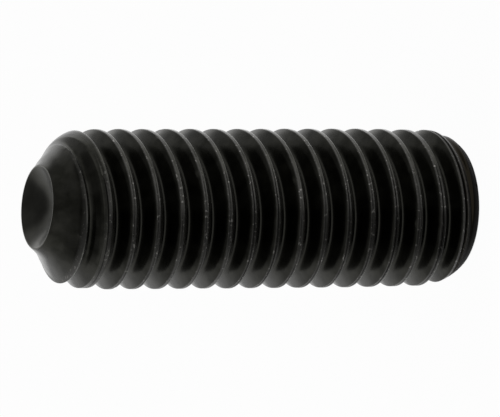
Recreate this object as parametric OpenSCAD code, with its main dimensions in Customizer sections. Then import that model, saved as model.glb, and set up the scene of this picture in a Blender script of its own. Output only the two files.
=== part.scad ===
// Headless grub screw with a cup point and a hexagon socket, standing on its socket end.
// Units are millimetres. The axis is Z, and the cup point is at the top.

/* [Body] */
// Overall length, from the socket end to the rim of the cup
length = 14; // [8:0.5:25]

/* [Thread] */
// Diameter over the thread crests
crest_d = 4.87; // [4.6:0.01:6]
// Height that the thread climbs in one turn
pitch = 0.8; // [0.7:0.05:1]
// Angle between the two flanks of a thread groove
flank_angle = 60; // [55:1:65]
// Width of the flat on each crest
crest_flat = 0.17; // [0.1:0.01:0.25]
// Width of the flat at the bottom of the groove
root_flat = 0.13; // [0.08:0.01:0.2]
// Direction, seen from the cup, in which the groove crosses the socket end
thread_start = 20; // [0:5:355]

/* [Cup point] */
// Diameter of the rim of the cup
rim_d = 2.4; // [1.6:0.01:2.8]
// Full angle of the cone just below the rim
point_angle = 78; // [70:1:90]
// Full angle to which the cone flares out at its foot
foot_angle = 116; // [100:1:130]
// Full angle of the hollow inside the rim
cup_angle = 118; // [100:1:130]
// Radius that rounds the edge of the rim
rim_round = 0.06; // [0.03:0.01:0.1]
// Radius of the arc between the foot of the cone and the crests
swell_round = 0.75; // [0.4:0.05:1]

/* [Socket end] */
// Full angle of the chamfer on the socket end
chamfer_angle = 90; // [80:1:110]
// How far the chamfer reaches below the bottom of the groove
chamfer_reach = 0.06; // [0.03:0.01:0.2]
// Radius that blends the chamfer into the crests
chamfer_round = 1.2; // [0.3:0.1:1.2]

/* [Hexagon socket] */
// Width of the hexagon across its flats
socket_w = 2.5; // [1.8:0.05:2.6]
// Depth of the hexagon's flat walls
socket_depth = 3; // [1.5:0.1:5]
// Full angle of the cone at the bottom of the socket
socket_tip_angle = 120; // [100:1:140]
// How far the countersink reaches past the hexagon's corners
mouth_reach = 0.04; // [0.02:0.01:0.1]
// Full angle of the countersink at the mouth of the socket
mouth_angle = 120; // [90:1:130]

/* [Hidden] */
// Facets in one turn of the groove
turn_steps = 36;
// Facets across each arc of the turned outline
arc_steps = 6;
// Smoothness of the round surfaces
$fn = 96;
// How far a cutting shape runs past the surface that it cuts
over = 0.05;

// Thread: the groove's depth follows from its flats and the angle of its flanks
crest_r = crest_d / 2;
groove_depth = (pitch - crest_flat - root_flat) / 2 / tan(flank_angle / 2);
root_r = crest_r - groove_depth;

// A point on an arc that leaves the crests at height z
function crest_arc(radius, z, angle) = [
    crest_r - radius * (1 - cos(angle)),
    z + radius * sin(angle)
];

// Socket end: a chamfer that runs smoothly into the crests along an arc
end_r = root_r - chamfer_reach;
chamfer_h = (crest_r - end_r) / tan(chamfer_angle / 2);
crests_from_z = chamfer_h + chamfer_round * tan(chamfer_angle / 4);

// Rim: an arc that runs smoothly into the cone outside and into the cup inside
rim_r = rim_d / 2;
rim_from = point_angle / 2;
rim_to = 180 - cup_angle / 2;
function rim_point(angle) = [
    rim_r + rim_round * cos(angle),
    length - rim_round * (1 - sin(angle))
];
rim_outside = rim_point(rim_from);
rim_inside = rim_point(rim_to);
cup_bottom_z = rim_inside[1] - rim_inside[0] / tan(cup_angle / 2);

// Point: the cone flares along an arc, from the rim to its foot, and then swells into the crests
foot_tilt = foot_angle / 2;
foot_r = crest_r - swell_round * (1 - cos(foot_tilt));
flare_round = (foot_r - rim_outside[0]) / (cos(rim_from) - cos(foot_tilt));
function flare_point(angle) = [
    rim_outside[0] + flare_round * (cos(rim_from) - cos(angle)),
    rim_outside[1] - flare_round * (sin(angle) - sin(rim_from))
];
crests_to_z = flare_point(foot_tilt)[1] - swell_round * sin(foot_tilt);

// Socket: radius to the hexagon's corners and to its flats, then the cones at its bottom and mouth
socket_corner_r = socket_w / sqrt(3);
socket_flat_r = socket_w / 2;
socket_tip_h = socket_flat_r / tan(socket_tip_angle / 2);
mouth_r = socket_corner_r + mouth_reach;
mouth_h = (mouth_r - socket_flat_r) / tan(mouth_angle / 2);

// Groove: its section as [radius, height] corners, cut from just outside the crests
cut_r = crest_r + over;
root_half = root_flat / 2;
cut_half = root_half + (cut_r - root_r) * tan(flank_angle / 2);
groove_section = [[root_r, -root_half], [cut_r, -cut_half], [cut_r, cut_half], [root_r, root_half]];

// The groove starts below the socket end and runs out in the air beside the thinner point
groove_from = -cut_half - over;
groove_to = length;
groove_steps = ceil((groove_to - groove_from) / pitch * turn_steps);

// Angles along an arc in equal steps, with both ends and without them
function spread(from, to) = [for (k = [0 : arc_steps]) from + (to - from) * k / arc_steps];
function between(from, to) = [for (k = [1 : arc_steps - 1]) from + (to - from) * k / arc_steps];

// One corner of the groove's section after a number of steps up the helix
function groove_point(corner, step) =
    let (turn = 360 * step / turn_steps, angle = thread_start + turn)
    [corner[0] * cos(angle), corner[0] * sin(angle), groove_from + pitch * turn / 360 + corner[1]];

// The right-hand helical groove, as one closed solid
module thread_groove() {
    corners = len(groove_section);
    last = groove_steps * corners;
    points = [
        for (step = [0 : groove_steps]) for (corner = groove_section) groove_point(corner, step)
    ];
    sides = [
        for (step = [0 : groove_steps - 1]) for (k = [0 : corners - 1])
            let (
                low = step * corners + k,
                low_next = step * corners + (k + 1) % corners
            )
            each [
                [low, low_next, low_next + corners],
                [low, low_next + corners, low + corners]
            ]
    ];
    first_cap = [for (k = [corners - 1 : -1 : 0]) k];
    last_cap = [for (k = [0 : corners - 1]) last + k];
    polyhedron(points, concat([first_cap], sides, [last_cap]), convexity = 20);
}

// The turned blank: chamfer, crests, swelling, flared cone, rounded rim and cup
module blank() {
    rotate_extrude()
        polygon([
            [0, 0],
            [end_r, 0],
            for (angle = spread(-chamfer_angle / 2, 0)) crest_arc(chamfer_round, crests_from_z, angle),
            for (angle = spread(0, foot_tilt)) crest_arc(swell_round, crests_to_z, angle),
            for (angle = between(foot_tilt, rim_from)) flare_point(angle),
            for (angle = spread(rim_from, rim_to)) rim_point(angle),
            [0, cup_bottom_z]
        ]);
}

// The hexagon socket with its countersunk mouth and its cone bottom
module socket() {
    translate([0, 0, -over])
        cylinder(h = socket_depth + over, r = socket_corner_r, $fn = 6);
    translate([0, 0, socket_depth])
        cylinder(h = socket_tip_h, r1 = socket_flat_r, r2 = 0);
    cylinder(h = mouth_h, r1 = mouth_r, r2 = socket_flat_r);
}

module set_screw() {
    color([0.07, 0.07, 0.075])
        difference() {
            blank();
            thread_groove();
            socket();
        }
}

set_screw();
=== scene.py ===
"""Dress the grub screw: rolled thread, cup point and hexagon socket in black oxide steel.

The screw stands on its socket end, as the solid does. The camera looks down on it and is rolled,
so that the cup point is at the left of the picture.
"""

import math

import bpy
import numpy as np
from mathutils import Matrix, Vector


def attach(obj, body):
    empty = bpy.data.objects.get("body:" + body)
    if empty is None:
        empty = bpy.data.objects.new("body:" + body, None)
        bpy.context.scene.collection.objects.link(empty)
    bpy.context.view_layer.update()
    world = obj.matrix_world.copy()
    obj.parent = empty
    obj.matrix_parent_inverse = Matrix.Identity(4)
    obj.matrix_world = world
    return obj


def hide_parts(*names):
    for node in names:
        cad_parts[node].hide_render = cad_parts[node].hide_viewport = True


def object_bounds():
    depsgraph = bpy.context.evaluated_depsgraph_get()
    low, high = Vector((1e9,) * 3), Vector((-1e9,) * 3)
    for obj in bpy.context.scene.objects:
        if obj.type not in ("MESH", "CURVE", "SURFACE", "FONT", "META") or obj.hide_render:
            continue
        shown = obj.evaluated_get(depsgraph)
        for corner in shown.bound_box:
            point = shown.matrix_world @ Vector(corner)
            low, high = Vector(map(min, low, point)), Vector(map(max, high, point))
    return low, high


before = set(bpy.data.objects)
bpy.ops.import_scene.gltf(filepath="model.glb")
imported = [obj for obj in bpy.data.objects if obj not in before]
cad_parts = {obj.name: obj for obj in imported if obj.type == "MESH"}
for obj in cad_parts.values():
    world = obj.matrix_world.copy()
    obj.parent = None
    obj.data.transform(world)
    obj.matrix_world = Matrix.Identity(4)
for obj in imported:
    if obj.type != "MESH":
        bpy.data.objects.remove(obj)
cad_low, cad_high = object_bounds()

# Sizes are in millimetres, as on a drawing, and become metres when a mesh is made
MM = 0.001
LENGTH = cad_high.z / MM
CREST_R = cad_high.x / MM

# Thread: the groove's depth follows from its flats and the slope of its flanks
PITCH = 0.8
FLANK_SLOPE = 1 / math.tan(math.radians(30))
CREST_FLAT = 0.145
ROOT_FLAT = 0.11
ROOT_HALF = ROOT_FLAT / 2
ROOT_ROUND = 0.14
EDGE_ROUND = 0.035
GROOVE_DEPTH = (PITCH - CREST_FLAT - ROOT_FLAT) / 2 * FLANK_SLOPE
ROOT_R = CREST_R - GROOVE_DEPTH

# The groove starts in the air below the socket end, at this part of a turn
START_TURN = 20 / 360
START_CLEAR = 0.05
GROOVE_FROM = -(ROOT_HALF + (GROOVE_DEPTH + START_CLEAR) / FLANK_SLOPE) - START_CLEAR

# Socket end: one arc from the end face to the crests, which are a little lower there
END_R = 1.938
END_CREST_R = 2.402
END_ROUND = 1.545
CRESTS_FROM = math.sqrt(END_ROUND ** 2 - (END_ROUND - END_CREST_R + END_R) ** 2)
TAPER_TO = 3.6

# Cup point: rim, flared cone, and the arc in which the first crest swells out of the cone
RIM_R = 1.255
RIM_ROUND = 0.05
RIM_TILT = math.radians(38.4)
FOOT_TILT = math.radians(56.5)
SWELL_ROUND = 0.92
RIM_OUTSIDE_R = RIM_R + RIM_ROUND * math.cos(RIM_TILT)
RIM_OUTSIDE_Z = LENGTH - RIM_ROUND * (1 - math.sin(RIM_TILT))
FOOT_R = CREST_R - SWELL_ROUND * (1 - math.cos(FOOT_TILT))
FLARE_ROUND = (FOOT_R - RIM_OUTSIDE_R) / (math.cos(RIM_TILT) - math.cos(FOOT_TILT))
FOOT_Z = RIM_OUTSIDE_Z - FLARE_ROUND * (math.sin(FOOT_TILT) - math.sin(RIM_TILT))
CRESTS_TO = FOOT_Z - SWELL_ROUND * math.sin(FOOT_TILT)

# Bowl of the cup: half the angle between its sides at the rim, how round it is, and how much deeper it
# is towards the upper side of the picture
CUP_HALF_ANGLE = math.radians(51)
CUP_POWER = 1.9
CUP_SWING = 0.12

# Hexagon socket, with a cone at its bottom and at its mouth
SOCKET_FLAT_R = 1.25
SOCKET_DEPTH = 3.0
SOCKET_CONE_SLOPE = math.tan(math.radians(60))
SOCKET_TIP_H = SOCKET_FLAT_R / SOCKET_CONE_SLOPE
MOUTH_REACH = 0.04
MOUTH_R = 2 * SOCKET_FLAT_R / math.sqrt(3) + MOUTH_REACH

# Mesh: columns in one turn, where rows lie on the root in halves of its width, how far from an edge a row
# lies that holds it, rings of the point, and shares of the radius where rings lie on the socket's tip
COLUMNS = 216
ROOT_SHARES = (0.5, 1, 1.6, 2.3)
EDGE_HOLD = 0.012
CONE_RINGS = 10
RIM_RINGS = 9
CUP_RINGS = 20
TIP_SHARES = (0.8, 0.5, 0.2, 0.02)

# Edges of the socket end are softened by these shares of EDGE_HOLD, and a ring lies at this share of the
# way down its countersink
END_EDGE_OUT = 0.2
END_EDGE_UP = 0.5
MOUTH_EDGE_UP = 0.25
HEXAGON_EDGE_OUT = 0.3
MOUTH_SHARE = 0.3

# Halvings that find the end of a flank, and steps in a millimetre to which points are joined
HALVINGS = 30
JOIN_STEPS = 1e6

# Rows of the wound mesh by number, as wound_rows lists them: the edges of the crest and the seam in its
# middle, and the rows between and beside them
FIRST_EDGE = len(ROOT_SHARES) + 3
SEAM_ROW = FIRST_EDGE + 4
LAST_EDGE = SEAM_ROW + 4
CREST_ROWS = slice(FIRST_EDGE + 1, LAST_EDGE)
LOWER_ROWS = slice(FIRST_EDGE + 1, SEAM_ROW + 1)
UPPER_ROWS = slice(SEAM_ROW + 1, LAST_EDGE)
FIRST_EDGE_ROWS = slice(FIRST_EDGE, FIRST_EDGE + 2)
LAST_EDGE_ROWS = slice(LAST_EDGE - 1, LAST_EDGE + 1)

# Where the wound part of the mesh gives way to plain rings, clear of the groove at both ends
WOUND_FROM = 0.02
WOUND_CLEAR = 0.05
WOUND_TO_TILT = math.acos(math.cos(RIM_TILT) - (ROOT_R - WOUND_CLEAR - RIM_OUTSIDE_R) / FLARE_ROUND)
WOUND_TO = RIM_OUTSIDE_Z - FLARE_ROUND * (math.sin(WOUND_TO_TILT) - math.sin(RIM_TILT))

# Heights between which a form or a mark comes in or fades out
RUN_OUT = (0.28, 0.6)
LAST_CREST = (0.8, 1.1)
LAST_CREST_WEAR_RISE = (0.9, 1.3)
ABOVE_LAST_CREST = (1.1, 1.5)
SOCKET_SIDE_FADE = (4, 11)
DIP_RISE = (12.2, 12.45)
DIP_FADE = (12.6, 12.85)
SWELL_RISE = (CRESTS_TO, CRESTS_TO + 0.3)
SWELL_WEAR_FADE = (CRESTS_TO - 0.1, CRESTS_TO + 0.3)
RUN_IN = (FOOT_Z - 0.85, FOOT_Z - 0.5)
FOOT_FADE = (FOOT_Z - 0.3, FOOT_Z)
FOOT_WEAR_FADE = (FOOT_Z - 0.25, FOOT_Z)

# Seam along the crest: half its width, its depth, and what is added to them in places
SEAM_HALF = 0.02
SEAM_DEPTH = 0.012
SEAM_SPREAD = 0.8
SEAM_BENDS = 2.3
SEAM_SEED = 5
SOCKET_SIDE_SEAM = 0.008
SWELL_SEAM = 0.015
LAST_CREST_SEAM = 0.07
LAST_CREST_SEAM_HALF = 0.04

# Uneven crests, and dents in both edges of them: how many, from which seed, how deep and how wide
UNEVEN_HEIGHT = 0.003
UNEVEN_BENDS = 7
UNEVEN_SEED = 11
FIRST_EDGE_NICKS = (40, 22)
LAST_EDGE_NICKS = (30, 21)
NICK_DEPTHS = (0.006, 0.022)
NICK_WIDTHS = (0.03, 0.06)

# Lip that stands along the foot of the cone: its height at both edges, the width of its land, and the
# depth of groove at which it is full
LIP_LOW = 0.01
LIP_HIGH = 0.06
LIP_LAND = 0.03
LIP_FULL_DEPTH = 0.15

# How far the last turn of the groove lies from an even helix, and how deep the first crest dips
FOOT_SHIFT = 0.08
FIRST_DIP = 0.045

# Share of the seam and of the wear that is missing on the upper side of the picture, where the cosine
# of the angle from straight up lies in this range or above it
UPPER_LOSS = 0.9
UPPER_SIDE = (0.1, 0.7)

# Ends that lie a little off the axis: heights, then shifts up the picture, and tilts
END_HEIGHTS = (0.4, 1.0)
FOOT_HEIGHTS = (12.4, 13.1)
CONE_HEIGHTS = (13.2, 13.97)
TIP_HEIGHTS = (13.6, 13.97)
END_LIFT = 0.03
FOOT_DROP = 0.0054
CONE_LIFT = 0.085
FOOT_LEAN = math.tan(math.radians(0.74))
TIP_LEAN = math.tan(math.radians(3))
TIP_NOD = math.tan(math.radians(2))

# Wear along the last crest and on the lip
LAST_CREST_WORN = 0.5
LIP_WORN = 2

# Share of bare steel on the lip, in the cup and on the top of the rim, down to this depth
LIP_BARE = 0.3
CUP_BARE = 0.22
RIM_BARE = 0.6
RIM_BARE_DEPTH = 0.01

# Angle from which an edge is shaded sharp
SHARP_ANGLE = math.radians(40)

# Black oxide: its colours, and the heights where brown gives way to black. The brown is partly the oxide's
# own tint and partly painted shade, which darkens the chamfer at the socket end.
OXIDE_DARK = (0.019, 0.0191, 0.0158)
OXIDE_PALE = (0.039, 0.0388, 0.0335)
OXIDE_ROOT = (0.036, 0.0355, 0.031)
BROWN_TINT_AND_SHADE = (0.014, 0.012, 0.0085)
RUBBED_OXIDE = (0.050, 0.049, 0.047)
SPECK_STEEL = (0.18, 0.175, 0.165)
BARE_STEEL = (0.16, 0.159, 0.144)
BROWN_TINT_AND_SHADE_HEIGHTS = (0.6, 0.72)

# Size and detail of its patches, grain and specks, and the range of each noise that counts
PATCHES = (0.5, 3)
GRAIN = (0.05, 2)
SPECKS = (0.09, 2)
PATCH_RANGE = (0.35, 0.65)
GRAIN_RANGE = (0.3, 0.7)
SPECK_RANGE = (0.62, 0.69)
RUBBED_RANGE = (0.3, 1)
GRAIN_HEIGHT = 0.002
GRAIN_STRENGTH = 0.25

# Depth of the groove that takes the colour of the root, as a share
ROOT_RANGE = (0.8, 1)

# Roughness of unworn and worn steel. Bare steel in this range counts as worn up to this much.
ROUGHNESS = (0.20, 0.36)
BARE_RANGE = (0, 0.08)
BARE_WORN = (0, 0.65)

# Camera: how far the screw leans towards it, which side of the screw it sees, its roll and its distance,
# then the scale and the size of the picture, and where the middle of the screw lies in it
LEAN = math.radians(25.4)
SIDE = math.radians(38)
ROLL = math.radians(0.3)
CAMERA_DISTANCE = 350
PIXELS_PER_MM = 32.75
PICTURE_W = 500
PICTURE_H = 417
MIDDLE_X = 246.0
MIDDLE_Y = 208.5
SENSOR_W = 36.0
CLIP_NEAR = 10
CLIP_FAR = 20000

# Directions in the picture, in the screw's frame
TOWARDS = Vector((math.cos(SIDE), -math.sin(SIDE), 0))
PICTURE_UP = Vector((math.sin(SIDE), math.cos(SIDE), 0))
UP_ANGLE = math.atan2(PICTURE_UP.y, PICTURE_UP.x)

# Brightness of the room by height above the floor, in degrees: on the camera's side, and behind the
# screw on the upper and the lower side of the picture
ROOM_FRONT = ((0, 0.35), (11, 0.4), (27, 0.65), (37, 0.65), (49, 0.38), (67, 0.34), (78, 0.24), (90, 0.08))
ROOM_ABOVE = ((0, 1.2), (9, 1.45), (14, 1.2), (21, 0.5), (37, 0.6), (45, 0.5), (51, 0.09), (90, 0.1))
ROOM_BELOW = ((0, 0.5), (9, 0.85), (14, 0.85), (21, 0.82), (37, 0.82), (45, 0.55), (51, 0.1), (90, 0.1))

# Where these parts of the room blend, by how far a direction points up the picture or to the camera
UPPER_BLEND = (-0.2, 0.2)
FRONT_BLEND = (-0.4, 0.1)

# Floor: half its width, the gap that keeps it clear of the end face, its grey, and its share of white
FLOOR_HALF = 3000
FLOOR_GAP = 0.01
FLOOR_GREY = 0.9
FLOOR_WHITE = 0.97

# Light on the floor above the screw in the picture: where it starts and ends, its width, and its
# brightness in multiples of white
LIGHT_FROM = 4
LIGHT_TO = 44
LIGHT_WIDTH = 50
LIGHT_BRIGHTNESS = 0.6

# Dark cards on the floor: sides, in degrees round from the camera's side, distances and greys. The ring
# round the screw's foot is painted shadow, the contact shadow under the screw, seen only in its reflection
# in the screw. The light lies at the same height as the cards.
CARD_SIDES = (-62, -2)
CARD_REACH = (3, 60)
CARD_GREY = 0.38
# Painted contact shadow: a grey ring round the foot of the screw, seen only in the screw's reflection
SHADE_SIDES = (-180, 180)
SHADE_CLEAR = 0.02
SHADE_REACH = (END_R + SHADE_CLEAR, 2.35)
SHADE_GREY = 0.62
CARD_HEIGHT = 0.03
CARD_CORNERS = 49


def smooth_min(a, b, reach):
    """The lower of two heights, with the corner where they cross rounded off."""
    near = np.maximum(reach - np.abs(a - b), 0) / reach
    return np.minimum(a, b) - near * near * reach / 4


def smooth_max(a, b, reach):
    """The higher of two heights, with the corner where they cross filled in."""
    return -smooth_min(-a, -b, reach)


def smooth_step(value, start, stop):
    """A soft rise from 0 at the start to 1 at the stop."""
    share = np.clip((value - start) / (stop - start), 0, 1)
    return share * share * (3 - 2 * share)


def smooth_fall(value, start, stop):
    """A soft fall from 1 at the start to 0 at the stop."""
    return smooth_step(-value, -stop, -start)


def wander(turns, per_turn, seed):
    """Smooth random values from -1 to 1 along the helix, with so many bends in a turn.

    Two turns are added, because the count of turns starts below 0."""
    place = (turns + 2) * per_turn
    step = np.floor(place).astype(int)
    knots = np.random.default_rng(seed).uniform(-1, 1, step.max() + 2)
    blend = 0.5 - 0.5 * np.cos(math.pi * (place - step))
    return knots[step] * (1 - blend) + knots[step + 1] * blend


def envelope(z):
    """Radius of the turned blank at a height: end arc, crests, swelling and flared cone."""
    crests = END_CREST_R + (CREST_R - END_CREST_R) * smooth_step(z, CRESTS_FROM, TAPER_TO)
    low = np.clip(CRESTS_FROM - z, 0, END_ROUND)
    body = crests - END_ROUND + np.sqrt(END_ROUND ** 2 - low ** 2)
    high = np.clip(z - CRESTS_TO, 0, SWELL_ROUND)
    swell = CREST_R - SWELL_ROUND + np.sqrt(SWELL_ROUND ** 2 - high ** 2)
    sine = np.clip(math.sin(RIM_TILT) + (RIM_OUTSIDE_Z - z) / FLARE_ROUND, 0, 1)
    flare = RIM_OUTSIDE_R + FLARE_ROUND * (math.cos(RIM_TILT) - np.sqrt(1 - sine ** 2))
    return np.where(z > FOOT_Z, flare, np.where(z > CRESTS_TO, swell, body))


def flank_radius(offset):
    """Radius of a straight flank at a distance along the axis from the middle of the groove."""
    return ROOT_R + (np.abs(offset) - ROOT_HALF) * FLANK_SLOPE


def groove_radius(offset):
    """Radius of the flanks and the rounded root between them."""
    flank = flank_radius(offset)
    return smooth_max(flank, np.full_like(flank, ROOT_R), ROOT_ROUND)


def flank_end(groove, start, stop):
    """Height at which a flank leaves the groove, found by halving the span from start to stop."""
    inside, outside = start.copy(), stop.copy()
    for _ in range(HALVINGS):
        middle = (inside + outside) / 2
        in_groove = flank_radius(middle - groove) < envelope(middle)
        inside = np.where(in_groove, middle, inside)
        outside = np.where(in_groove, outside, middle)
    return np.where(envelope(start) > ROOT_R, inside, start)


def run_in(groove):
    """Rises from 0 to 1 where the groove comes to the foot of the cone."""
    return smooth_step(groove, *RUN_IN)


def groove_height(turns):
    """Height of the groove's middle along the helix. Its last turn lies a little nearer to the cup."""
    height = GROOVE_FROM + PITCH * (turns - START_TURN)
    return height + FOOT_SHIFT * run_in(height)


def wound_rows(turns):
    """Heights of the mesh rows from one groove to the next, for each column along the helix.

    Rows lie on the root, both flanks, both edges of the crest and the seam in its middle."""
    low = groove_height(turns)
    high = groove_height(turns + 1)
    middle = (low + high) / 2
    first = flank_end(low, low + ROOT_HALF, middle)
    last = flank_end(high, high - ROOT_HALF, middle)
    root_low = [np.minimum(low + share * ROOT_HALF, first) for share in ROOT_SHARES]
    root_high = [np.maximum(high - share * ROOT_HALF, last) for share in reversed(ROOT_SHARES)]
    foot_low, foot_high = root_low[-1], root_high[0]
    crest = (first + last) / 2
    top = last - first
    edge_low = np.minimum(EDGE_HOLD, (first - foot_low) / 4)
    edge_high = np.minimum(EDGE_HOLD, (foot_high - last) / 4)
    edge_top = np.minimum(EDGE_HOLD + LIP_LAND * run_in(low), top / 10)
    seam = np.minimum(SEAM_HALF + LAST_CREST_SEAM_HALF * smooth_fall(crest, *LAST_CREST), top / 5)
    rows = [
        low,
        *root_low,
        (foot_low + first) / 2,
        first - edge_low,
        first,
        first + edge_top,
        first + top / 4,
        crest - seam,
        crest,
        crest + seam,
        last - top / 4,
        last - edge_top,
        last,
        last + edge_high,
        (foot_high + last) / 2,
        *root_high,
    ]
    return np.stack(rows, 1), low, high


def wound_radius(z, low, high, crest_z):
    """Radius of the thread at each row: the groove cut into the blank, and filled up at the socket end."""
    nearest = np.minimum(np.abs(z - low[:, None]), np.abs(z - high[:, None]))
    dip = FIRST_DIP * smooth_step(crest_z, *DIP_RISE) * smooth_fall(crest_z, *DIP_FADE)
    radius = smooth_min(groove_radius(nearest), envelope(z) - dip[:, None], EDGE_ROUND)
    return envelope(z) + (radius - envelope(z)) * smooth_step(z, *RUN_OUT)


def upper_side(turns, crest_z):
    """1 on the upper side of the picture, except on the last crest, and 0 elsewhere."""
    upward = np.cos(2 * math.pi * turns - UP_ANGLE)
    return smooth_step(upward, *UPPER_SIDE) * smooth_step(crest_z, *ABOVE_LAST_CREST)


def seam_depth(turns, crest_z):
    """Depth of the seam: deepest towards the socket end, shallow on the upper side of the picture."""
    depth = SEAM_DEPTH + SOCKET_SIDE_SEAM * smooth_fall(crest_z, *SOCKET_SIDE_FADE)
    depth *= 1 + SEAM_SPREAD * wander(turns, SEAM_BENDS, SEAM_SEED)
    depth += SWELL_SEAM * smooth_step(crest_z, *SWELL_RISE)
    depth += LAST_CREST_SEAM * smooth_fall(crest_z, *LAST_CREST)
    depth *= smooth_fall(crest_z, *FOOT_FADE) * smooth_step(crest_z, *RUN_OUT)
    depth *= 1 - UPPER_LOSS * upper_side(turns, crest_z)
    return np.maximum(depth, 0)


def nicks(turns, count, seed):
    """Depth of small random dents along one edge of the crest."""
    draw = np.random.default_rng(seed)
    places = draw.uniform(turns[0], turns[-1], count)
    depths = draw.uniform(*NICK_DEPTHS, count)
    widths = draw.uniform(*NICK_WIDTHS, count) / (2 * math.pi * CREST_R)
    dents = np.zeros_like(turns)
    for place, depth, width in zip(places, depths, widths):
        dents = np.maximum(dents, depth * np.exp(-((turns - place) / width) ** 2))
    return dents


def rolling_marks(turns, crest_z, lip, rows):
    """How far each row is raised or sunk by the seam, uneven crests, dents and the lip."""
    raised = np.zeros((len(turns), rows))
    raised[:, SEAM_ROW] -= seam_depth(turns, crest_z)
    raised[:, CREST_ROWS] += UNEVEN_HEIGHT * wander(turns, UNEVEN_BENDS, UNEVEN_SEED)[:, None]
    raised[:, FIRST_EDGE] += LIP_LOW * lip
    raised[:, FIRST_EDGE + 1] += LIP_HIGH * lip
    raised[:, LAST_EDGE_ROWS] -= nicks(turns, *LAST_EDGE_NICKS)[:, None]
    raised[:, FIRST_EDGE_ROWS] -= nicks(turns, *FIRST_EDGE_NICKS)[:, None]
    return raised


def crest_wear(turns, crest_z, lip, rows):
    """How much the oxide is rubbed on each row, from 0 to 1, and more on the lip."""
    wear = np.zeros((len(turns), rows))
    wear[:, CREST_ROWS] = smooth_fall(crest_z, *FOOT_WEAR_FADE)[:, None]
    wear[:, UPPER_ROWS] *= smooth_fall(crest_z, *SWELL_WEAR_FADE)[:, None]
    above_last = smooth_step(crest_z, *LAST_CREST_WEAR_RISE)
    wear[:, LOWER_ROWS] *= (LAST_CREST_WORN + (1 - LAST_CREST_WORN) * above_last)[:, None]
    wear[:, LOWER_ROWS] *= (1 - UPPER_LOSS * upper_side(turns, crest_z))[:, None]
    wear[:, CREST_ROWS] *= smooth_step(crest_z, *RUN_OUT)[:, None]
    wear[:, FIRST_EDGE_ROWS] = np.maximum(wear[:, FIRST_EDGE_ROWS], LIP_WORN * lip[:, None])
    return wear


def wound_faces(columns, rows):
    """Faces between neighbouring columns, and between one turn's last row and the next turn's first."""
    index = np.arange(columns * rows).reshape(columns, rows)
    inner = np.stack([index[:-1, :-1], index[1:, :-1], index[1:, 1:], index[:-1, 1:]], 2).reshape(-1, 4)
    below, above = index[:-COLUMNS, -1], index[COLUMNS:, 0]
    between = np.stack([below[:-1], below[1:], above[1:], above[:-1]], 1)
    return [tuple(face) for face in inner] + [tuple(face) for face in between]


def wound_mesh():
    """Vertices, faces, wear, depth and bare steel of the part that is wound along the thread."""
    first_turn = (WOUND_FROM - PITCH - GROOVE_FROM) / PITCH + START_TURN
    last_turn = (WOUND_TO - GROOVE_FROM) / PITCH + START_TURN
    steps = np.arange(math.floor(first_turn * COLUMNS), math.ceil(last_turn * COLUMNS) + 1)
    turns = steps / COLUMNS
    z, low, high = wound_rows(turns)
    rows = z.shape[1]
    first, last = z[:, FIRST_EDGE], z[:, LAST_EDGE]
    crest_z = (first + last) / 2
    lip = run_in(low) * np.clip((envelope(first) - ROOT_R) / LIP_FULL_DEPTH, 0, 1)

    z = np.clip(z, WOUND_FROM, WOUND_TO)
    inside = (z > WOUND_FROM) & (z < WOUND_TO)
    marked = wound_radius(z, low, high, crest_z) + rolling_marks(turns, crest_z, lip, rows)
    radius = np.where(inside, marked, envelope(z))
    angle = 2 * math.pi * turns[:, None]
    points = np.stack([radius * np.cos(angle), radius * np.sin(angle), z], 2)

    wear = crest_wear(turns, crest_z, lip, rows)
    depth = np.clip((envelope(z) - radius) / GROOVE_DEPTH, 0, 1)
    bare = np.zeros_like(radius)
    bare[:, FIRST_EDGE_ROWS] = LIP_BARE * lip[:, None]
    faces = wound_faces(len(steps), rows)
    return points.reshape(-1, 3), faces, wear.reshape(-1), depth.reshape(-1), bare.reshape(-1)


def column_angles():
    """Direction of each column of a plain ring."""
    return np.arange(COLUMNS) * 2 * math.pi / COLUMNS


def ring(radius, z):
    """One plain ring of the mesh. The radius and the height are one number or one for each column."""
    angle = column_angles()
    radius = np.broadcast_to(radius, COLUMNS)
    height = np.broadcast_to(z, COLUMNS)
    return np.stack([radius * np.cos(angle), radius * np.sin(angle), height], 1)


def point_rings():
    """Rings of the cone, the rounded rim and the cup, from the thread to the bottom of the cup."""
    rings = []
    for z in np.linspace(WOUND_TO, RIM_OUTSIDE_Z, CONE_RINGS, endpoint=False):
        rings.append(ring(envelope(z), z))
    for angle in np.linspace(RIM_TILT, math.pi - CUP_HALF_ANGLE, RIM_RINGS):
        rings.append(ring(RIM_R + RIM_ROUND * math.cos(angle), LENGTH - RIM_ROUND * (1 - math.sin(angle))))
    inside_r = RIM_R - RIM_ROUND * math.cos(CUP_HALF_ANGLE)
    inside_z = LENGTH - RIM_ROUND * (1 - math.sin(CUP_HALF_ANGLE))
    cup_depth = inside_r / math.tan(CUP_HALF_ANGLE) / CUP_POWER
    upward = np.cos(column_angles() - UP_ANGLE)
    for share in np.arange(CUP_RINGS - 1, 0, -1) / CUP_RINGS:
        swing = CUP_SWING * inside_r * share * (1 - share) * upward
        rings.append(ring(inside_r * share, inside_z - cup_depth * (1 - share ** CUP_POWER) - swing))
    return rings


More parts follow.
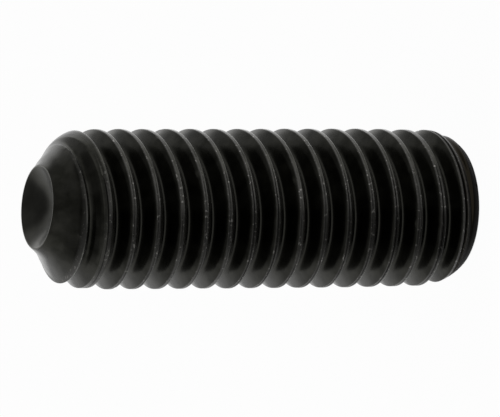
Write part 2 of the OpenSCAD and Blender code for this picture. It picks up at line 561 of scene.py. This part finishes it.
def socket_rings():
    """Rings from the end arc over the end face into the hexagon socket and down to its tip."""
    from_flat = np.mod(column_angles(), math.pi / 3) - math.pi / 6
    hexagon = SOCKET_FLAT_R / np.cos(from_flat)
    mouth_z = (MOUTH_R - hexagon) / SOCKET_CONE_SLOPE
    rings = [
        ring(envelope(np.array(WOUND_FROM)), WOUND_FROM),
        ring(END_R + END_EDGE_OUT * EDGE_HOLD, END_EDGE_UP * EDGE_HOLD),
        ring(END_R - EDGE_HOLD, 0),
        ring((END_R + MOUTH_R) / 2, 0),
        ring(MOUTH_R + EDGE_HOLD, 0),
        ring(MOUTH_R, MOUTH_EDGE_UP * EDGE_HOLD),
        ring(MOUTH_R - (MOUTH_R - hexagon) * MOUTH_SHARE, mouth_z * MOUTH_SHARE),
        ring(hexagon + HEXAGON_EDGE_OUT * EDGE_HOLD, mouth_z),
        ring(hexagon, mouth_z + EDGE_HOLD),
        ring(hexagon, SOCKET_DEPTH / 2),
        ring(hexagon, SOCKET_DEPTH - EDGE_HOLD),
        ring(hexagon - EDGE_HOLD, SOCKET_DEPTH),
        ring(SOCKET_FLAT_R - EDGE_HOLD, SOCKET_DEPTH),
    ]
    for share in TIP_SHARES:
        rings.append(ring(SOCKET_FLAT_R * share, SOCKET_DEPTH + SOCKET_TIP_H * (1 - share)))
    return rings


def ring_faces(count, start, flip):
    """Faces between rings that follow each other from a start index, closed over the last one."""
    faces = []
    for level in range(count - 1):
        for k in range(COLUMNS):
            a = start + level * COLUMNS + k
            b = start + level * COLUMNS + (k + 1) % COLUMNS
            face = (a, b, b + COLUMNS, a + COLUMNS)
            faces.append(face[::-1] if flip else face)
    last = [start + (count - 1) * COLUMNS + k for k in range(COLUMNS)]
    faces.append(tuple(last[::-1] if flip else last))
    return faces


def settle(points):
    """Lean and shift the socket end, the cone and the rim a little, as they lie on the real screw."""
    up = np.array(PICTURE_UP)
    z = points[:, 2]
    end = smooth_fall(z, *END_HEIGHTS)
    foot = smooth_step(z, *FOOT_HEIGHTS)
    cone = smooth_step(z, *CONE_HEIGHTS)
    tip = smooth_step(z, *TIP_HEIGHTS)
    lift = CONE_LIFT * cone + END_LIFT * end - FOOT_DROP * foot
    lean = FOOT_LEAN * foot + TIP_LEAN * tip
    moved = points + np.outer(lift, up)
    moved[:, 2] += TIP_NOD * tip * (points @ np.array(TOWARDS)) - lean * (points @ up)
    return moved


def joined(points, faces, values):
    """The mesh with vertices in one place made one, and faces that have closed up left out."""
    keys = np.round(points * JOIN_STEPS).astype(np.int64)
    _, first, same = np.unique(keys, axis=0, return_index=True, return_inverse=True)
    same = same.reshape(-1)
    kept = []
    for face in faces:
        corners = [same[i] for i in face]
        corners = [c for k, c in enumerate(corners) if c != corners[k - 1]]
        if len(set(corners)) == len(corners) and len(corners) > 2:
            kept.append(corners)
    return points[first], kept, [value[first] for value in values]


def new_object(name, data):
    """An object in the scene that shows a mesh, a light or a camera."""
    made = bpy.data.objects.new(name, data)
    bpy.context.scene.collection.objects.link(made)
    return made


def screw_object():
    """The whole screw as one closed mesh, with wear, depth and bare steel stored on its points."""
    points, faces, wear, depth, bare = wound_mesh()
    for rings, flip in ((point_rings(), False), (socket_rings(), True)):
        faces = faces + ring_faces(len(rings), len(points), flip)
        points = np.concatenate([points] + rings)
    rest = np.zeros(len(points) - len(wear))
    across = np.hypot(points[:, 0], points[:, 1])
    in_cup = (across < RIM_R) & (points[:, 2] > LENGTH / 2)
    bare = np.where(in_cup, CUP_BARE, np.concatenate([bare, rest]))
    bare = np.where(points[:, 2] > LENGTH - RIM_BARE_DEPTH, RIM_BARE, bare)
    values = [np.concatenate([wear, rest]), np.concatenate([depth, rest]), bare]
    points, faces, values = joined(settle(points), faces, values)
    mesh = bpy.data.meshes.new("screw_body")
    mesh.from_pydata((points * MM).tolist(), [], faces)
    mesh.polygons.foreach_set("use_smooth", np.ones(len(faces), bool))
    for name, value in zip(("wear", "depth", "bare"), values):
        attribute = mesh.attributes.new(name, "FLOAT", "POINT")
        attribute.data.foreach_set("value", value.astype(np.float32))
    mesh.update()
    mesh.set_sharp_from_angle(angle=SHARP_ANGLE)
    return new_object("screw_body", mesh)


def new_material(name):
    """An empty node material, with its node tree and its output."""
    material = bpy.data.materials.new(name)
    material.use_nodes = True
    tree = material.node_tree
    tree.nodes.clear()
    output = tree.nodes.new("ShaderNodeOutputMaterial")
    return material, tree, output


def noise_node(tree, coordinates, size, detail):
    """A noise texture whose features are about so many millimetres wide."""
    node = tree.nodes.new("ShaderNodeTexNoise")
    node.inputs["Scale"].default_value = 1 / (size * MM)
    node.inputs["Detail"].default_value = detail
    tree.links.new(coordinates, node.inputs["Vector"])
    return node.outputs["Fac"]


def map_range(tree, value, low, high, to_low, to_high):
    """A value spread from one range to another and held at its ends."""
    node = tree.nodes.new("ShaderNodeMapRange")
    node.inputs["From Min"].default_value = low
    node.inputs["From Max"].default_value = high
    node.inputs["To Min"].default_value = to_low
    node.inputs["To Max"].default_value = to_high
    tree.links.new(value, node.inputs["Value"])
    return node.outputs["Result"]


def math_node(tree, operation, a, b):
    """One value worked out from two."""
    node = tree.nodes.new("ShaderNodeMath")
    node.operation = operation
    tree.links.new(a, node.inputs[0])
    tree.links.new(b, node.inputs[1])
    return node.outputs["Value"]


def mix_colour(tree, factor, a, b):
    """A mix of two colours. Each is a written colour or another node's output."""
    node = tree.nodes.new("ShaderNodeMix")
    node.data_type = "RGBA"
    tree.links.new(factor, node.inputs["Factor"])
    for name, colour in (("A", a), ("B", b)):
        socket = next(s for s in node.inputs if s.name == name and s.type == "RGBA")
        if isinstance(colour, tuple):
            socket.default_value = (*colour, 1)
        else:
            tree.links.new(colour, socket)
    return next(s for s in node.outputs if s.type == "RGBA")


def attribute_node(tree, name):
    """A value that is stored on the mesh."""
    node = tree.nodes.new("ShaderNodeAttribute")
    node.attribute_name = name
    return node.outputs["Fac"]


def height_output(tree, vector):
    """The height of a place or a direction."""
    split = tree.nodes.new("ShaderNodeSeparateXYZ")
    tree.links.new(vector, split.inputs["Vector"])
    return split.outputs["Z"]


def black_oxide():
    """Black oxide on rolled steel: a dark sheen, rubbed brighter in places along the crests."""
    material, tree, output = new_material("black_oxide_steel")
    shader = tree.nodes.new("ShaderNodeBsdfPrincipled")
    tree.links.new(shader.outputs["BSDF"], output.inputs["Surface"])
    place = tree.nodes.new("ShaderNodeTexCoord").outputs["Object"]
    wear = attribute_node(tree, "wear")
    depth = attribute_node(tree, "depth")
    bare = attribute_node(tree, "bare")
    patches = map_range(tree, noise_node(tree, place, *PATCHES), *PATCH_RANGE, 0, 1)
    grain = noise_node(tree, place, *GRAIN)
    specks = map_range(tree, noise_node(tree, place, *SPECKS), *SPECK_RANGE, 0, 1)

    colour = mix_colour(tree, patches, OXIDE_DARK, OXIDE_PALE)
    colour = mix_colour(tree, map_range(tree, depth, *ROOT_RANGE, 0, 1), colour, OXIDE_ROOT)
    # Brown towards the socket end: partly the oxide's own tint, partly painted shade on the chamfer
    tint_and_shade_low, tint_and_shade_high = BROWN_TINT_AND_SHADE_HEIGHTS
    brown_and_shade = map_range(tree, height_output(tree, place), tint_and_shade_low * MM, tint_and_shade_high * MM, 1, 0)
    colour = mix_colour(tree, brown_and_shade, colour, BROWN_TINT_AND_SHADE)
    rubbed = math_node(tree, "MULTIPLY", wear, map_range(tree, grain, *GRAIN_RANGE, *RUBBED_RANGE))
    colour = mix_colour(tree, rubbed, colour, RUBBED_OXIDE)
    colour = mix_colour(tree, math_node(tree, "MULTIPLY", wear, specks), colour, SPECK_STEEL)
    colour = mix_colour(tree, bare, colour, BARE_STEEL)
    tree.links.new(colour, shader.inputs["Base Color"])
    shader.inputs["Metallic"].default_value = 1
    rough = math_node(tree, "MAXIMUM", wear, map_range(tree, bare, *BARE_RANGE, *BARE_WORN))
    tree.links.new(map_range(tree, rough, 0, 1, *ROUGHNESS), shader.inputs["Roughness"])

    bump = tree.nodes.new("ShaderNodeBump")
    bump.inputs["Strength"].default_value = GRAIN_STRENGTH
    bump.inputs["Distance"].default_value = GRAIN_HEIGHT * MM
    tree.links.new(grain, bump.inputs["Height"])
    tree.links.new(bump.outputs["Normal"], shader.inputs["Normal"])
    return material


def pale_floor():
    """A pale floor that shows white behind the screw and keeps a faint shadow."""
    material, tree, output = new_material("pale_floor")
    lit = tree.nodes.new("ShaderNodeBsdfDiffuse")
    lit.inputs["Color"].default_value = (FLOOR_GREY, FLOOR_GREY, FLOOR_GREY, 1)
    white = tree.nodes.new("ShaderNodeEmission")
    white.inputs["Strength"].default_value = 1
    path = tree.nodes.new("ShaderNodeLightPath")
    seen = math_node(tree, "MAXIMUM", path.outputs["Is Camera Ray"], path.outputs["Is Glossy Ray"])
    seen = math_node(tree, "MAXIMUM", seen, path.outputs["Is Transmission Ray"])
    mix = tree.nodes.new("ShaderNodeMixShader")
    tree.links.new(map_range(tree, seen, 0, 1, 0, FLOOR_WHITE), mix.inputs["Fac"])
    tree.links.new(lit.outputs["BSDF"], mix.inputs[1])
    tree.links.new(white.outputs["Emission"], mix.inputs[2])
    tree.links.new(mix.outputs["Shader"], output.inputs["Surface"])
    return material


def floor_object():
    """The floor that the screw stands on."""
    half = FLOOR_HALF * MM
    z = -FLOOR_GAP * MM
    corners = [(-half, -half, z), (half, -half, z), (half, half, z), (-half, half, z)]
    mesh = bpy.data.meshes.new("floor")
    mesh.from_pydata(corners, [], [(0, 1, 2, 3)])
    mesh.materials.append(pale_floor())
    return new_object("floor", mesh)


def floor_light():
    """A soft light that lies on the floor above the screw in the picture and faces up."""
    light = bpy.data.lights.new("floor_light", "AREA")
    light.shape = "RECTANGLE"
    light.size = (LIGHT_TO - LIGHT_FROM) * MM
    light.size_y = LIGHT_WIDTH * MM
    light.energy = LIGHT_BRIGHTNESS * math.pi * light.size * light.size_y
    lamp = new_object("floor_light", light)
    lamp.location = PICTURE_UP * (LIGHT_FROM + LIGHT_TO) / 2 * MM + Vector((0, 0, CARD_HEIGHT * MM))
    lamp.rotation_euler = (math.pi, 0, UP_ANGLE)
    lamp.visible_camera = False


def floor_card(name, sides, reach, grey):
    """A card on the floor, for its reflection in the screw alone."""
    points = []
    for degrees in np.linspace(*sides, CARD_CORNERS):
        angle = math.radians(degrees)
        direction = TOWARDS * math.cos(angle) + PICTURE_UP * math.sin(angle)
        for away in reach:
            points.append((direction * away + Vector((0, 0, CARD_HEIGHT))) * MM)
    faces = [(k, k + 1, k + 3, k + 2) for k in range(0, len(points) - 2, 2)]
    mesh = bpy.data.meshes.new(name)
    mesh.from_pydata(points, [], faces)
    material, tree, output = new_material(name)
    paper = tree.nodes.new("ShaderNodeBsdfDiffuse")
    paper.inputs["Color"].default_value = (grey, grey, grey, 1)
    tree.links.new(paper.outputs["BSDF"], output.inputs["Surface"])
    mesh.materials.append(material)
    card = new_object(name, mesh)
    card.visible_camera = False
    card.visible_diffuse = False
    card.visible_shadow = False
    return card


def room_ramp(tree, height, room):
    """Grey by height above the floor, from pairs of degrees and brightness."""
    ramp = tree.nodes.new("ShaderNodeValToRGB")
    elements = ramp.color_ramp.elements
    while len(elements) < len(room):
        elements.new(0.5)
    for element, (degrees, brightness) in zip(elements, room):
        element.position = math.sin(math.radians(degrees))
        element.color = (brightness, brightness, brightness, 1)
    tree.links.new(height, ramp.inputs["Fac"])
    return ramp.outputs["Color"]


def share_along(tree, direction, axis):
    """How far a direction points along an axis, from -1 to 1."""
    node = tree.nodes.new("ShaderNodeVectorMath")
    node.operation = "DOT_PRODUCT"
    node.inputs[1].default_value = axis
    tree.links.new(direction, node.inputs[0])
    return node.outputs["Value"]


def set_lights():
    """A light on the floor above the screw in the picture, and a soft room."""
    floor_light()
    world = bpy.data.worlds.new("room")
    world.use_nodes = True
    tree = world.node_tree
    direction = tree.nodes.new("ShaderNodeTexCoord").outputs["Generated"]
    height = height_output(tree, direction)
    front = room_ramp(tree, height, ROOM_FRONT)
    above = room_ramp(tree, height, ROOM_ABOVE)
    below = room_ramp(tree, height, ROOM_BELOW)
    upper = map_range(tree, share_along(tree, direction, PICTURE_UP), *UPPER_BLEND, 0, 1)
    facing = map_range(tree, share_along(tree, direction, TOWARDS), *FRONT_BLEND, 0, 1)
    room = mix_colour(tree, facing, mix_colour(tree, upper, below, above), front)
    tree.links.new(room, tree.nodes["Background"].inputs["Color"])
    bpy.context.scene.world = world


def set_camera():
    """A long lens at the viewing angle of the photograph, with the cup point to the left."""
    back = TOWARDS * math.cos(LEAN) + Vector((0, 0, math.sin(LEAN)))
    level = PICTURE_UP.cross(back)
    right = level * math.cos(ROLL) - PICTURE_UP * math.sin(ROLL)
    up = PICTURE_UP * math.cos(ROLL) + level * math.sin(ROLL)
    aside = right * (PICTURE_W / 2 - MIDDLE_X) - up * (PICTURE_H / 2 - MIDDLE_Y)
    middle = Vector((0, 0, LENGTH / 2)) + aside / PIXELS_PER_MM
    place = (middle + back * CAMERA_DISTANCE) * MM
    data = bpy.data.cameras.new("camera")
    data.sensor_width = SENSOR_W
    data.lens = PIXELS_PER_MM * CAMERA_DISTANCE * SENSOR_W / PICTURE_W
    data.clip_start = CLIP_NEAR * MM
    data.clip_end = CLIP_FAR * MM
    camera = new_object("camera", data)
    camera.matrix_world = Matrix.Translation(place) @ Matrix((right, up, back)).transposed().to_4x4()
    bpy.context.scene.camera = camera


screw = screw_object()
screw.data.materials.append(black_oxide())
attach(screw, "root")
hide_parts("set_screw")

floor_object()
floor_card("dark_card", CARD_SIDES, CARD_REACH, CARD_GREY)
# Painted shadow: the contact shadow under the screw, as a grey ring seen only in reflections in the screw
floor_card("painted_contact_shadow", SHADE_SIDES, SHADE_REACH, SHADE_GREY)
set_lights()
set_camera()
bpy.context.scene.view_settings.view_transform = "Standard"
